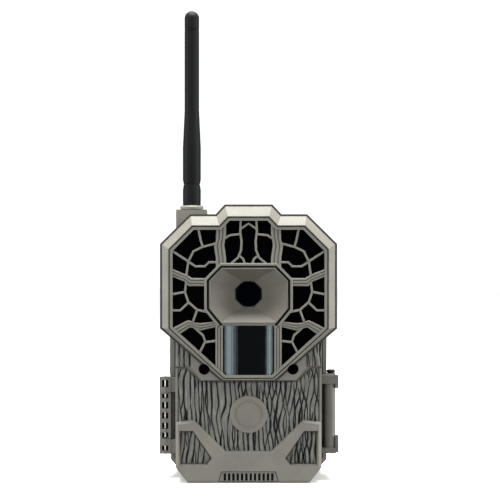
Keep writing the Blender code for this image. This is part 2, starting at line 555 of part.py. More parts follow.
for old in list(bpy.data.objects):
    bpy.data.objects.remove(old)
make_camera()
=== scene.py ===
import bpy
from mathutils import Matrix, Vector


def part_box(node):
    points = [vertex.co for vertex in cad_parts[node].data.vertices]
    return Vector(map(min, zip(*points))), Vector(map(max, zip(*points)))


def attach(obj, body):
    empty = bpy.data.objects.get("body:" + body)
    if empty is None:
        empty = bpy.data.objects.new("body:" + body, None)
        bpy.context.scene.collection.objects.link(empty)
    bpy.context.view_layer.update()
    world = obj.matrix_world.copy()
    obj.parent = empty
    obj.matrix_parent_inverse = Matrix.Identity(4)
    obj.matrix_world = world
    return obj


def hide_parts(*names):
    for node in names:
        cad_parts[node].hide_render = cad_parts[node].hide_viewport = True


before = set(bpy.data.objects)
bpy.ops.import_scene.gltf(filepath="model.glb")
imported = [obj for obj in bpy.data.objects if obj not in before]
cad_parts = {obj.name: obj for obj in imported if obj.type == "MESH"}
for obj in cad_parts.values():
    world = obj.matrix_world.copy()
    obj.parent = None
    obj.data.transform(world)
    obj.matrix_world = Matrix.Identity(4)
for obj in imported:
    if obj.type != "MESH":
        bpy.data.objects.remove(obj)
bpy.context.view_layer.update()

import math

import bmesh
import bpy
from mathutils import Matrix, Vector, noise

# ---- driving dimensions, in millimetres -----------------------------------------------------
MM = 0.001
GAP = 0.3


def node_box(name):
    """A CAD node's lowest and highest corners, in millimetres."""
    low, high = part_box(name)
    return low / MM, high / MM


HOOD_LOW, HOOD_HIGH = node_box("hood")
REAR_HIGH = node_box("rear_shell")[1]
FRONT_Y = HOOD_LOW.y                        # tip of the hood
DOOR_BACK_Y = HOOD_HIGH.y                   # where the door meets the rear shell
REAR_FRONT_Y = DOOR_BACK_Y + GAP
BARK_Y = -24.2                              # the plane that the bark relief stands on
BARK_RISE = 1.5                             # from the bottom of a groove to the top of a ridge
WALL = 2.2
PANEL_SEAT_Y = -6.3                         # front of the recess for the door's inner panel
PIN_LOW, PIN_HIGH = node_box("hinge_pin")
HINGE_X, HINGE_Y = (PIN_LOW.x + PIN_HIGH.x) / 2, (PIN_LOW.y + PIN_HIGH.y) / 2
HINGE_R, PIN_BORE_R = 3.2, 1.2
REAR_KNUCKLE = (22.6, 48.2)                 # foot and top of each knuckle
DOOR_KNUCKLES = ((48.5, 57.4), (13.7, 22.3))
DOOR_ARMS = ((49.0, 57.0), (14.2, 22.0))
DOOR_WINDOWS = ((15.6, 18.5), (51.7, 55.7))
REAR_WINDOWS = ((22.9, 25.9), (28.0, 31.5), (33.8, 37.3), (39.6, 43.2), (45.4, 47.9))
LATCH_R = 2.6
LATCH_Z, LATCH_BARREL_Z = (15.3, 58.7), (18.7, 54.0)
LATCH_BAR = (45.9, -13.8)                   # x and y of the bar's axis
LATCH_LOW, LATCH_HIGH = node_box("latch_pin")
LATCH_X, LATCH_Y = (LATCH_LOW.x + LATCH_HIGH.x) / 2, (LATCH_LOW.y + LATCH_HIGH.y) / 2
WHIP_LOW, WHIP_HIGH = node_box("antenna")
WHIP_X, WHIP_Y = (WHIP_LOW.x + WHIP_HIGH.x) / 2, (WHIP_LOW.y + WHIP_HIGH.y) / 2
PEDESTAL_HALF, PEDESTAL_FOOT = 8.7, 118.0
INSERT_Y = 12.0                             # axis of the tripod insert in the base
LENS_LOW, LENS_HIGH = node_box("lens_glass")
LENS_Z = (LENS_LOW.z + LENS_HIGH.z) / 2
LENS_R = 6.7
EYE_X, EYE_Z, EYE_R = 24.6, 63.6, 3.15      # the small round eyes below the hood
PIR_LOW, PIR_HIGH = node_box("pir_lens")
PIR_HALF = 14.0
CELL_LOW, CELL_HIGH = node_box("battery_cell_1")
CELL_FOOT, CELL_LENGTH = CELL_LOW.z, CELL_HIGH.z - CELL_LOW.z
CELL_PITCH = node_box("battery_cell_5")[0].z - CELL_FOOT

# Outlines as (x, z), right half from the bottom up; the left half mirrors it.
REAR_HALF = ((36.0, 0.0), (44.6, 10.0), (44.6, 128.0), (32.0, 141.0))
COVER_HALF = ((34.1, 0.0), (40.8, 8.6), (40.8, 63.9), (34.4, 63.9), (26.8, 56.9))
UPPER_HALF = ((27.0, 57.25), (34.5, 64.25), (40.8, 64.25), (40.8, 79.2), (44.6, 82.5),
              (44.6, 131.0), (31.0, 144.6))
HOOD_HALF = ((16.0, 57.6), (49.0, 86.2), (49.0, 133.0), (32.4, 149.4), (18.2, 149.4), (13.2, 154.8))
FACE_HALF = ((13.6, 58.7), (43.9, 86.3), (43.9, 129.9), (31.0, 142.8), (16.0, 142.8), (11.3, 147.8))
FLANGE_HALF = ((26.3, 57.4), (32.1, 64.4), (32.1, 74.0))
PANEL_HALF = ((33.0, 2.6), (38.3, 9.2), (38.3, 80.3), (42.0, 83.6), (42.0, 129.8), (29.9, 142.0))
FUNNEL_HALF = ((15.0, 89.1), (21.8, 97.4), (21.8, 112.5), (14.7, 119.8))
BRACE_HALF = ((33.9, 0.3), (40.5, 8.8), (40.5, 33.9), (30.3, 35.0), (12.9, 17.9))
BRACE_WINDOW = ((37.8, 10.5), (38.1, 28.6), (31.0, 28.6), (20.8, 13.8), (23.2, 10.5))

# Centre lines of the grille's thin ribs on the left, laid out like cracks in dried earth.
THIN_RIB = 1.25
THIN_RIBS = (
    ((-27.8, 141.8), (-26.3, 134.5), (-25.3, 131.6)),
    ((-17.2, 133.4), (-25.3, 131.3), (-30.4, 128.9), (-33.2, 123.3), (-34.4, 114.8)),
    ((-42.6, 129.4), (-33.2, 123.3)),
    ((-32.6, 122.8), (-29.3, 120.6), (-24.1, 120.6), (-21.9, 122.8), (-17.2, 122.9)),
    ((-4.3, 146.4), (-4.6, 139.4), (-3.9, 134.5), (-4.1, 129.6), (-5.8, 125.4), (-9.6, 122.2)),
    ((-13.2, 135.9), (-10.4, 137.7), (-4.4, 138.4)),
    ((-4.3, 141.3), (0.0, 144.2), (4.3, 141.3)),
    ((-4.8, 126.2), (-3.0, 124.7), (-2.0, 121.9)),
    ((-34.3, 112.0), (-35.1, 106.5), (-33.2, 100.9), (-28.3, 96.6), (-22.8, 95.4)),
    ((-43.0, 105.0), (-35.0, 106.5)),
    ((-43.0, 96.3), (-37.7, 96.3), (-33.0, 100.7)),
    ((-28.3, 96.6), (-30.6, 90.2)),
    ((-30.0, 87.0), (-25.1, 82.6), (-23.9, 79.1), (-27.0, 73.0)),
    ((-24.0, 78.8), (-17.0, 79.6)),
)
# Each broad rib on the left, as the paths of its two sides.
BROAD_RIBS = (
    (((-17.8, 142.4), (-18.1, 134.5), (-19.1, 131.7), (-18.1, 125.4), (-18.1, 119.0)),
     ((-12.4, 144.8), (-12.3, 138.7), (-13.3, 132.4), (-12.3, 125.0), (-12.2, 120.6))),
    (((-43.4, 119.8), (-33.9, 115.9), (-31.1, 114.2), (-23.6, 114.2)),
     ((-43.4, 115.3), (-35.3, 112.1), (-33.2, 109.6), (-23.6, 109.6))),
    (((-43.2, 86.1), (-33.2, 91.0), (-29.7, 89.6), (-26.5, 89.3), (-18.0, 90.4)),
     ((-38.6, 82.5), (-32.5, 86.8), (-30.0, 86.5), (-26.5, 85.1), (-17.1, 87.3))),
)
# Across a broad rib, from side to side: share of the width, and height above the rib's foot.
RIDGES = ((0.0, 0.0), (0.03, 1.1), (0.10, 1.5), (0.25, 1.5), (0.33, 0.75), (0.40, 1.6), (0.60, 1.6),
          (0.67, 0.75), (0.75, 1.5), (0.90, 1.5), (0.97, 1.1), (1.0, 0.0))
PILLAR = (((-18.3, 60.8), (-18.3, 91.8)), ((-14.1, 60.4), (-14.1, 88.0)))


# ---- materials --------------------------------------------------------------------------------
def linear(hex_colour):
    """Linear RGBA from an sRGB hex colour."""
    parts = [int(hex_colour[i:i + 2], 16) / 255 for i in (1, 3, 5)]
    return (*[p / 12.92 if p <= 0.04045 else ((p + 0.055) / 1.055) ** 2.4 for p in parts], 1.0)


def toned(colour, factor):
    """A linear colour made darker or lighter."""
    return tuple(min(1.0, part * factor) for part in colour[:3]) + (1.0,)


def node(tree, kind, inputs=None, **settings):
    """Adds a node, sets it up, and fills or links its sockets."""
    made = tree.nodes.new(kind)
    for key, value in settings.items():
        setattr(made, key, value)
    for socket, value in (inputs or {}).items():
        if isinstance(value, bpy.types.NodeSocket):
            tree.links.new(value, made.inputs[socket])
        else:
            made.inputs[socket].default_value = value
    return made


def new_material(name, roughness, metallic=0.0, ior=1.5):
    """A material with its shader's even values set, its tree, those sockets, and the place on the piece."""
    made = bpy.data.materials.new(name)
    made.use_nodes = True
    sockets = made.node_tree.nodes["Principled BSDF"].inputs
    sockets["Roughness"].default_value = roughness
    sockets["Metallic"].default_value = metallic
    sockets["IOR"].default_value = ior
    place = node(made.node_tree, "ShaderNodeTexCoord").outputs["Object"]
    return made, made.node_tree, sockets, place


def grain_per_metre(grain_mm):
    """A noise scale whose grains are about that many millimetres apart."""
    return 1.0 / (grain_mm * MM)


def moulded_plastic(name, colour, roughness=0.55):
    """Moulded ABS: dull, with the fine pitting of a spark-eroded mould and faint cloudy patches."""
    cloud_mm, variation = 14, 0.10
    spark_mm = 0.35                         # coarser than the real 0.05 mm, which is too fine to show
    made, tree, sockets, place = new_material(name, roughness, ior=1.54)
    cloud = node(tree, "ShaderNodeTexNoise",
                 {"Vector": place, "Scale": grain_per_metre(cloud_mm), "Detail": 3.0}).outputs["Fac"]
    pits = node(tree, "ShaderNodeTexNoise",
                {"Vector": place, "Scale": grain_per_metre(spark_mm), "Detail": 2.0}).outputs["Fac"]
    dark = toned(linear(colour), 1 - variation)
    light = toned(linear(colour), 1 + variation)
    mottle = node(tree, "ShaderNodeMapRange", {0: cloud, 1: 0.3, 2: 0.7}).outputs[0]
    mottled = node(tree, "ShaderNodeMix", {0: mottle, 6: dark, 7: light}, data_type='RGBA').outputs[2]
    speck = node(tree, "ShaderNodeMapRange", {0: pits, 1: 0.35, 2: 0.65}).outputs[0]
    specked = node(tree, "ShaderNodeMix", {0: speck, 6: dark, 7: light}, data_type='RGBA').outputs[2]
    tint = node(tree, "ShaderNodeMix", {0: 0.12, 6: mottled, 7: specked}, data_type='RGBA').outputs[2]
    tree.links.new(tint, sockets["Base Color"])
    dullness = node(tree, "ShaderNodeMapRange",
                    {0: pits, 1: 0.3, 2: 0.7, 3: roughness - 0.07, 4: roughness + 0.07}).outputs[0]
    tree.links.new(dullness, sockets["Roughness"])
    relief = node(tree, "ShaderNodeBump", {"Height": pits, "Strength": 0.12, "Distance": 0.1 * MM})
    tree.links.new(relief.outputs["Normal"], sockets["Normal"])
    return made


def bark_plastic(name, ridge, groove):
    """ABS moulded as bark, its grooves coloured dark, the colour thinning out up their sides."""
    made, tree, sockets, place = new_material(name, 0.6, ior=1.54)
    along = node(tree, "ShaderNodeMapping", {"Vector": place, "Scale": (1.0, 1.0, 0.16)}).outputs[0]
    grain = node(tree, "ShaderNodeTexNoise",
                 {"Vector": along, "Scale": grain_per_metre(1.1), "Detail": 4.0,
                  "Roughness": 0.65}).outputs["Fac"]
    streaks = node(tree, "ShaderNodeMapRange", {0: grain, 1: 0.36, 2: 0.68}).outputs[0]
    dull, worn = toned(linear(ridge), 0.62), toned(linear(ridge), 1.25)
    top = node(tree, "ShaderNodeMix", {0: streaks, 6: dull, 7: worn}, data_type='RGBA').outputs[2]
    depth = node(tree, "ShaderNodeAttribute", attribute_name="groove").outputs["Fac"]
    ragged = node(tree, "ShaderNodeMapRange", {0: grain, 1: 0.3, 2: 0.7, 3: -0.16, 4: 0.16}).outputs[0]
    reach = node(tree, "ShaderNodeMath", {0: depth, 1: ragged}, operation='ADD').outputs[0]
    # Darker towards the bottom of each groove, fading out up its sides.
    groove_dark = node(tree, "ShaderNodeMapRange", {0: reach, 1: 0.30, 2: 0.72}).outputs[0]
    tint = node(tree, "ShaderNodeMix", {0: groove_dark, 6: top, 7: linear(groove)}, data_type='RGBA').outputs[2]
    tree.links.new(tint, sockets["Base Color"])
    relief = node(tree, "ShaderNodeBump", {"Height": grain, "Strength": 0.35, "Distance": 0.25 * MM})
    tree.links.new(relief.outputs["Normal"], sockets["Normal"])
    return made


def glossy_plastic(name, colour, roughness, wave_mm=0.0):
    """Polished acrylic or polythene: a deep colour under a clear shine, with dust-fine unevenness."""
    made, tree, sockets, place = new_material(name, roughness, ior=1.49)
    sockets["Base Color"].default_value = linear(colour)
    dust = node(tree, "ShaderNodeTexNoise",
                {"Vector": place, "Scale": grain_per_metre(5), "Detail": 4.0}).outputs["Fac"]
    dullness = node(tree, "ShaderNodeMapRange",
                    {0: dust, 1: 0.3, 2: 0.8, 3: roughness * 0.7, 4: roughness * 1.6}).outputs[0]
    tree.links.new(dullness, sockets["Roughness"])
    if wave_mm:
        ridges = node(tree, "ShaderNodeTexWave", {"Vector": place, "Scale": grain_per_metre(wave_mm) / 3.2},
                      wave_type='BANDS', bands_direction='X').outputs["Fac"]
        relief = node(tree, "ShaderNodeBump", {"Height": ridges, "Strength": 0.06, "Distance": 0.1 * MM})
        tree.links.new(relief.outputs["Normal"], sockets["Normal"])
    return made


def rubbery(name, colour, roughness=0.62):
    """Moulded elastomer: nearly black, soft shine, a faint skin texture."""
    made, tree, sockets, place = new_material(name, roughness, ior=1.3)
    skin_noise = node(tree, "ShaderNodeTexNoise",
                      {"Vector": place, "Scale": grain_per_metre(0.5), "Detail": 3.0}).outputs["Fac"]
    share = node(tree, "ShaderNodeMapRange", {0: skin_noise, 1: 0.35, 2: 0.7}).outputs[0]
    base = linear(colour)
    tint = node(tree, "ShaderNodeMix", {0: share, 6: base, 7: toned(base, 1.5)}, data_type='RGBA').outputs[2]
    tree.links.new(tint, sockets["Base Color"])
    relief = node(tree, "ShaderNodeBump", {"Height": skin_noise, "Strength": 0.15, "Distance": 0.1 * MM})
    tree.links.new(relief.outputs["Normal"], sockets["Normal"])
    return made


def plated_metal(name, colour, roughness=0.28):
    """Turned and plated metal: bright, with fine drawn scratches."""
    made, tree, sockets, place = new_material(name, roughness, metallic=1.0)
    drawn = node(tree, "ShaderNodeMapping", {"Vector": place, "Scale": (1.0, 1.0, 0.1)}).outputs[0]
    lines = node(tree, "ShaderNodeTexNoise",
                 {"Vector": drawn, "Scale": grain_per_metre(0.4), "Detail": 3.0}).outputs["Fac"]
    base = linear(colour)
    tint = node(tree, "ShaderNodeMix", {0: lines, 6: toned(base, 0.8), 7: base}, data_type='RGBA').outputs[2]
    tree.links.new(tint, sockets["Base Color"])
    dullness = node(tree, "ShaderNodeMapRange",
                    {0: lines, 1: 0.3, 2: 0.7, 3: roughness - 0.08, 4: roughness + 0.1}).outputs[0]
    tree.links.new(dullness, sockets["Roughness"])
    return made


def circuit_board():
    """Solder mask over copper: dark green, with paler tracks just showing under it."""
    made, tree, sockets, place = new_material("solder_mask", 0.35)
    tracks = node(tree, "ShaderNodeTexBrick",
                  {"Vector": place, "Scale": grain_per_metre(9), "Mortar Size": 0.03,
                   "Color1": linear("#0C3B22"), "Color2": linear("#0F4A2B"), "Mortar": linear("#2C7A4B")})
    tree.links.new(tracks.outputs["Color"], sockets["Base Color"])
    return made


def cell_sleeve():
    """The printed film round an AA cell: black, with the last quarter below the nub in bronze."""
    made, tree, sockets, place = new_material("cell_sleeve", 0.28, metallic=0.6)
    height = node(tree, "ShaderNodeSeparateXYZ", {"Vector": place}).outputs["Z"]
    above = node(tree, "ShaderNodeMath", {0: height, 1: CELL_FOOT * MM}, operation='SUBTRACT').outputs[0]
    along = node(tree, "ShaderNodeMath", {0: above, 1: CELL_PITCH * MM}, operation='MODULO').outputs[0]
    start, end = (share * CELL_LENGTH * MM for share in (0.72, 0.725))
    band = node(tree, "ShaderNodeMapRange", {0: along, 1: start, 2: end}).outputs[0]
    tint = node(tree, "ShaderNodeMix", {0: band, 6: linear("#1B1D20"), 7: linear("#9A6A3C")},
                data_type='RGBA').outputs[2]
    tree.links.new(tint, sockets["Base Color"])
    return made


HOUSING = moulded_plastic("moulded_abs", "#76736A")                         # dull grey-brown
RIB = moulded_plastic("moulded_abs_grille", "#737168", roughness=0.5)       # the same, worn a little shinier
# Painted shade: the housing's ABS made darker to stand for the shade inside the funnel, and duller.
FUNNEL = moulded_plastic("moulded_abs_funnel_painted_shade", "#656158", roughness=0.6)    # darker and duller
# Painted shade: a nearly black copy of the housing's ABS, laid on the step round the hood's chamfer.
RIM_SHADE = moulded_plastic("moulded_abs_rim_painted_shade", "#38352F", roughness=0.6)          # nearly black brown
BARK = bark_plastic("bark_relief_abs", "#77766F", "#24292C")                # grey ridges, blue-black grooves
LATCH = moulded_plastic("moulded_nylon_latch", "#636059", roughness=0.45)   # darker, with a waxy shine
WINDOW = glossy_plastic("infrared_acrylic", "#030305", 0.10)                # black with soft reflections
PIR = glossy_plastic("polythene_lens", "#0B0D0F", 0.07, wave_mm=0.9)        # black, finely ridged
GLASS = glossy_plastic("coated_lens_glass", "#020308", 0.03)                # black with sharp reflections
SCREEN = glossy_plastic("screen_glass", "#101820", 0.06)                    # blue-black
WHIP = rubbery("whip_elastomer", "#0B0E10", 0.6)                            # black with a broad soft shine
RUBBER = rubbery("soft_rubber", "#141414")                                  # black and dull
# Also painted shade: laid on the walls of the hinge's windows and of the eye holes, dark to stand for the
# shade inside them; on the inner parts it is their own colour.
BLACK_ABS_AND_SHADE = moulded_plastic("moulded_abs_black_and_painted_shade", "#1C1D1E", roughness=0.5)      # dark grey
# Also painted shade: laid on the funnel's lip and inside the sound slots, black to stand for the shade of the
# gaps there; the lens tube is black of its own.
BLACK_BAFFLE_AND_SHADE = moulded_plastic("moulded_abs_baffle_and_painted_shade", "#050506", roughness=0.7)    # matt black
STEEL = plated_metal("nickel_plated_steel", "#C9C8C4", 0.22)                # bright, slightly warm
DARK_STEEL = plated_metal("blackened_steel", "#2A2A2B", 0.4)                # dark grey with a metal's shine
BRASS = plated_metal("turned_brass", "#C8A45A", 0.25)                       # yellow
BOARD = circuit_board()
CELL = cell_sleeve()


# ---- modelling helpers ------------------------------------------------------------------------
def mirrored(half):
    """The whole outline from its right half."""
    return list(half) + [(-x, z) for x, z in reversed(half)]


def offset(outline, distance):
    """The outline moved outwards by distance, or inwards where that is negative."""
    area = sum(a[0] * b[1] - b[0] * a[1] for a, b in zip(outline, outline[1:] + outline[:1]))
    turn = 1 if area > 0 else -1
    moved = []
    for i, point in enumerate(outline):
        before = (Vector(point) - Vector(outline[i - 1])).normalized()
        after = (Vector(outline[(i + 1) % len(outline)]) - Vector(point)).normalized()
        normals = [Vector((side.y, -side.x)) * turn for side in (before, after)]
        middle = (normals[0] + normals[1]).normalized()
        moved.append(tuple(Vector(point) + middle * distance / middle.dot(normals[0])))
    return moved


def solid(bm):
    """An object in millimetres from a bmesh, with its faces pointing out."""
    bmesh.ops.recalc_face_normals(bm, faces=bm.faces)
    mesh = bpy.data.meshes.new("shape")
    bm.to_mesh(mesh)
    bm.free()
    thing = bpy.data.objects.new("shape", mesh)
    bpy.context.scene.collection.objects.link(thing)
    return thing


def skin(sections):
    """A solid through closed outlines of points, all with the same number of corners."""
    bm = bmesh.new()
    outline = sections[0]
    cap = bm.faces.new([bm.verts.new(point) for point in outline])
    for step, following in enumerate(sections[1:]):
        grown = bmesh.ops.extrude_face_region(bm, geom=[cap])["geom"]
        if step:
            bmesh.ops.delete(bm, geom=[cap], context='FACES_ONLY')
        cap = next(item for item in grown if isinstance(item, bmesh.types.BMFace))
        for vert in cap.verts:
            corner = min(range(len(outline)), key=lambda i: (vert.co - Vector(outline[i])).length)
            vert.co = following[corner]
        outline = following
    return solid(bm)


def loft(sections):
    """A solid through outlines of (x, z), each at its own y."""
    return skin([[(x, y, z) for x, z in outline] for y, outline in sections])


def prism(outline, front, back):
    """An outline of (x, z) extruded along y."""
    return loft([(front, outline), (back, outline)])


def block(low, high):
    """A box from its lowest to its highest corner."""
    bm = bmesh.new()
    size = Vector(high) - Vector(low)
    middle = (Vector(high) + Vector(low)) / 2
    bmesh.ops.create_cube(bm, size=1.0, matrix=Matrix.Translation(middle) @ Matrix.Diagonal((*size, 1)))
    return solid(bm)


def turned(profile, foot, direction=(0, 0, 1), sides=48):
    """A solid turned about the axis through foot, from points of (radius, distance along it)."""
    bm = bmesh.new()
    points = [bm.verts.new((r, 0, h)) for r, h in profile]
    edges = [bm.edges.new(pair) for pair in zip(points, points[1:])]
    bmesh.ops.spin(bm, geom=points + edges, cent=(0, 0, 0), axis=(0, 0, 1),
                   angle=2 * math.pi, steps=sides, use_merge=True)
    bmesh.ops.remove_doubles(bm, verts=bm.verts, dist=0.0005)
    turn = Vector(direction).to_track_quat('Z', 'Y').to_matrix().to_4x4()
    place = Matrix.Translation(foot) @ turn
    bmesh.ops.transform(bm, matrix=place, verts=bm.verts)
    return solid(bm)


def rod(radius, start, end, sides=32):
    """A cylinder from start to end."""
    bm = bmesh.new()
    run = Vector(end) - Vector(start)
    turn = run.to_track_quat('Z', 'Y').to_matrix().to_4x4()
    place = Matrix.Translation((Vector(start) + Vector(end)) / 2) @ turn
    bmesh.ops.create_cone(bm, cap_ends=True, segments=sides, radius1=radius, radius2=radius,
                          depth=run.length, matrix=place)
    return solid(bm)


def combine(thing, tools, operation):
    """Joins tools to a shape or cuts them from it, then removes the tools."""
    for tool in tools:
        change = thing.modifiers.new("change", 'BOOLEAN')
        change.operation = operation
        change.object = tool
    graph = bpy.context.evaluated_depsgraph_get()
    shaped = bpy.data.meshes.new_from_object(thing.evaluated_get(graph), depsgraph=graph)
    thing.modifiers.clear()
    thing.data = shaped
    for tool in tools:
        bpy.data.objects.remove(tool)
    return thing


def join(thing, *tools):
    """Makes one solid of a shape and tools that overlap it."""
    return combine(thing, tools, 'UNION')


def cut(thing, *tools):
    """Takes tools away from a shape."""
    return combine(thing, tools, 'DIFFERENCE')


def gather(things):
    """Puts closed shells together in one object without merging them."""
    bm = bmesh.new()
    for thing in things:
        bm.from_mesh(thing.data)
        bpy.data.objects.remove(thing)
    return solid(bm)


def piece(name, thing, body, finish, replaces=(), bevel=0.0, sharp=35):
    """Makes a finished piece of a shape: its size in metres, edges, material, and what it rides on."""
    thing.name = name
    thing.data.name = name
    thing.data.transform(Matrix.Scale(MM, 4))
    thing.data.materials.clear()
    thing.data.materials.append(finish)
    thing.data.shade_smooth()
    if bevel:
        edges = thing.modifiers.new("edges", 'BEVEL')
        edges.width = bevel * MM
        edges.segments = 2
        edges.limit_method = 'ANGLE'
        edges.angle_limit = math.radians(28)
        edges.harden_normals = True
        edges.miter_outer = 'MITER_ARC'
    else:
        thing.data.set_sharp_from_angle(angle=math.radians(sharp))
    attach(thing, body)
    if replaces:
        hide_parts(*replaces)
    return thing


def paint(thing, finish, here):
    """Gives a second material to the faces whose middle (in millimetres) and direction pass a test."""
    thing.data.materials.append(finish)
    for face in thing.data.polygons:
        if here(face.center / MM, face.normal):
            face.material_index = len(thing.data.materials) - 1


# ---- bark relief --------------------------------------------------------------------------------
STRAND = 2.7                                # from one long groove to the next
FORK_WIDTH, FORK_LENGTH = 3.2, 27.0         # of the slivers that fork off between them
GROOVE = 0.33                               # half the usual width of a groove
BARK_STEP = (0.26, 0.7)                     # of the relief's mesh, across and along the grain
BORDER_FADE, SKIRT = 0.6, 0.8               # how soon the relief rises from its border; depth below it


def smooth_step(value):
    """Eases from 0 to 1 as value does."""
    held = min(1.0, max(0.0, value))
    return held * held * (3 - 2 * held)


def bark_at(u, v, seed):
    """Height of the bark, 0 to 1, and how much of a groove the spot is, at u across and v up."""
    sway = (3.4 * noise.noise(Vector((u * 0.07, v * 0.045, seed)))
            + 0.9 * noise.noise(Vector((u * 0.2, v * 0.10, seed + 5))))
    turn = math.pi * (u + sway) / STRAND
    long_groove = abs(math.sin(turn)) * STRAND / math.pi
    spot = Vector(((u - 0.8 * sway) / FORK_WIDTH, v / FORK_LENGTH, seed * 7.3))
    beside = Vector((0.08, 0, 0))
    slope = abs(noise.noise(spot + beside) - noise.noise(spot - beside)) / (0.16 * FORK_WIDTH)
    fork = abs(noise.noise(spot)) / max(slope, 0.02)
    width = GROOVE * (1.0 + 0.9 * noise.noise(Vector((u * 0.16, v * 0.08, seed + 9))))
    groove = max(smooth_step(1.5 - long_groove / width),
                 smooth_step(1.5 - fork / width) * smooth_step((slope - 0.07) / 0.1))
    crown = (0.78 + 0.14 * noise.noise(Vector((u * 1.9, v * 0.16, seed + 2)))
             + 0.16 * noise.noise(Vector((u * 0.5, v * 0.07, seed + 3))))
    return (1 - groove) * min(1.0, crown), groove


def from_border(point, outline):
    """Distance from a point to an outline's nearest side."""
    best = 1e9
    for a, b in zip(outline, outline[1:] + outline[:1]):
        a, b = Vector(a), Vector(b)
        share = min(1.0, max(0.0, (point - a).dot(b - a) / (b - a).length_squared))
        best = min(best, (point - a - (b - a) * share).length)
    return best


def inside(point, outline):
    """Whether a point lies inside an outline."""
    within = False
    for (x1, y1), (x2, y2) in zip(outline, outline[1:] + outline[:1]):
        if (y1 > point.y) != (y2 > point.y) and point.x < (x2 - x1) * (point.y - y1) / (y2 - y1) + x1:
            within = not within
    return within


def bark_patch(name, body, outline, place, seed, rise=BARK_RISE):
    """A plate of bark relief inside an outline of (u, v); place puts u, v and the height w in the room."""
    us, vs = zip(*outline)
    size = (max(us) - min(us), max(vs) - min(vs))
    bm = bmesh.new()
    middle = Matrix.Translation(((max(us) + min(us)) / 2, (max(vs) + min(vs)) / 2, 0))
    columns, rows = math.ceil(size[0] / BARK_STEP[0]), math.ceil(size[1] / BARK_STEP[1])
    bmesh.ops.create_grid(bm, x_segments=columns, y_segments=rows, size=0.5,
                          matrix=middle @ Matrix.Diagonal((*size, 1, 1)))
    for a, b in zip(outline, outline[1:] + outline[:1]):
        run = Vector(b) - Vector(a)
        if abs(run.x) > 0.01 and abs(run.y) > 0.01:
            bmesh.ops.bisect_plane(bm, geom=bm.verts[:] + bm.edges[:] + bm.faces[:], dist=0.001,
                                   plane_co=(*a, 0), plane_no=(run.y, -run.x, 0))
    outside = [face for face in bm.faces if not inside(face.calc_center_median().xy, outline)]
    bmesh.ops.delete(bm, geom=outside, context='FACES')
    groove = bm.verts.layers.float.new("groove")
    for vert in bm.verts:
        height, vert[groove] = bark_at(vert.co.x, vert.co.y, seed)
        fade = min(1.0, from_border(vert.co.xy, outline) / BORDER_FADE)
        vert.co.z = rise * height * fade
    border = [edge for edge in bm.edges if edge.is_boundary]
    skirt = bmesh.ops.extrude_edge_only(bm, edges=border)["geom"]
    low = [item for item in skirt if isinstance(item, bmesh.types.BMVert)]
    for vert in low:
        vert.co.z = -SKIRT
    bmesh.ops.holes_fill(bm, edges=[e for e in skirt if isinstance(e, bmesh.types.BMEdge)], sides=0)
    bmesh.ops.transform(bm, matrix=place, verts=bm.verts)
    piece(name, solid(bm), body, BARK, sharp=180)


def facing_front(y):
    """Puts (u, v, w) at (x, z, towards the front) on the plane at y."""
    return Matrix(((1, 0, 0, 0), (0, 0, -1, y), (0, 1, 0, 0), (0, 0, 0, 1)))


def facing_side(x, side):
    """Puts (u, v, w) at (y, z, outwards) on the plane at x."""
    return Matrix(((0, 0, side, x), (1, 0, 0, 0), (0, 1, 0, 0), (0, 0, 0, 1)))


# ---- door: hood, grille and optics ----------------------------------------------------------------
def make_hood():
    """The upper half of the door: a shroud with a step round its chamfer, painted dark as shade, and a flange
    with the eyes.
    """
    upper = mirrored(UPPER_HALF)
    face = mirrored(FACE_HALF)
    rim = mirrored(HOOD_HALF)
    step_y = FRONT_Y + 4.3
    hood = prism(upper, BARK_Y, DOOR_BACK_Y)
    shroud = loft([(FRONT_Y, offset(face, 0.5)), (FRONT_Y + 3.7, offset(rim, -1.25)),
                   (step_y, offset(rim, -1.15)), (step_y + 0.1, offset(rim, -0.02)),
                   (-9.0, offset(rim, -0.02))])
    flange = prism(mirrored(FLANGE_HALF), -28.6, BARK_Y + 1)
    join(hood, shroud, flange)
    eyes = [rod(EYE_R, (side * EYE_X, -40, EYE_Z), (side * EYE_X, -20, EYE_Z)) for side in (-1, 1)]
    cut(hood,
        prism(offset(upper, -WALL - 0.3), -26.0, DOOR_BACK_Y + 1),
        prism(offset(face, 0.1), FRONT_Y - 1, -25.5),
        prism(offset(mirrored(PANEL_HALF), GAP), PANEL_SEAT_Y, DOOR_BACK_Y + 1),
        *eyes)
    hood = piece("hood_shell", hood, "door", HOUSING, ("hood",), bevel=0.22)
    # Painted shade: the step's front faces take the nearly black rim colour.
    paint(hood, RIM_SHADE, lambda spot, facing: facing.y < -0.9 and abs(spot.y - step_y) < 0.15)
    # Painted shade: the walls of the eye holes take the dark colour.
    paint(hood, BLACK_ABS_AND_SHADE, lambda spot, _: (spot.y < -20
                                        and math.hypot(abs(spot.x) - EYE_X, spot.z - EYE_Z) < EYE_R - 0.05))


def strip(path, width, front, back):
    """A rib of even width along a path of (x, z)."""
    sides = ([], [])
    for i, point in enumerate(path):
        run = Vector(path[min(i + 1, len(path) - 1)]) - Vector(path[max(i - 1, 0)])
        across = Vector((-run.y, run.x)).normalized() * width / 2
        sides[0].append(tuple(Vector(point) + across))
        sides[1].append(tuple(Vector(point) - across))
    outline = sides[0] + sides[1][::-1]
    return loft([(front, offset(outline, -0.22)), (front + 0.35, outline), (back, outline)])


def ridged_rib(left, right, foot):
    """A broad rib with three ridges along it, between the paths of its two sides."""
    sections = []
    for a, b in zip(left, right):
        row = [Vector(a).lerp(Vector(b), share) for share, _ in RIDGES]
        sections.append([(spot.x, foot - rise, spot.y) for spot, (_, rise) in zip(row, RIDGES)])
    return skin(sections)


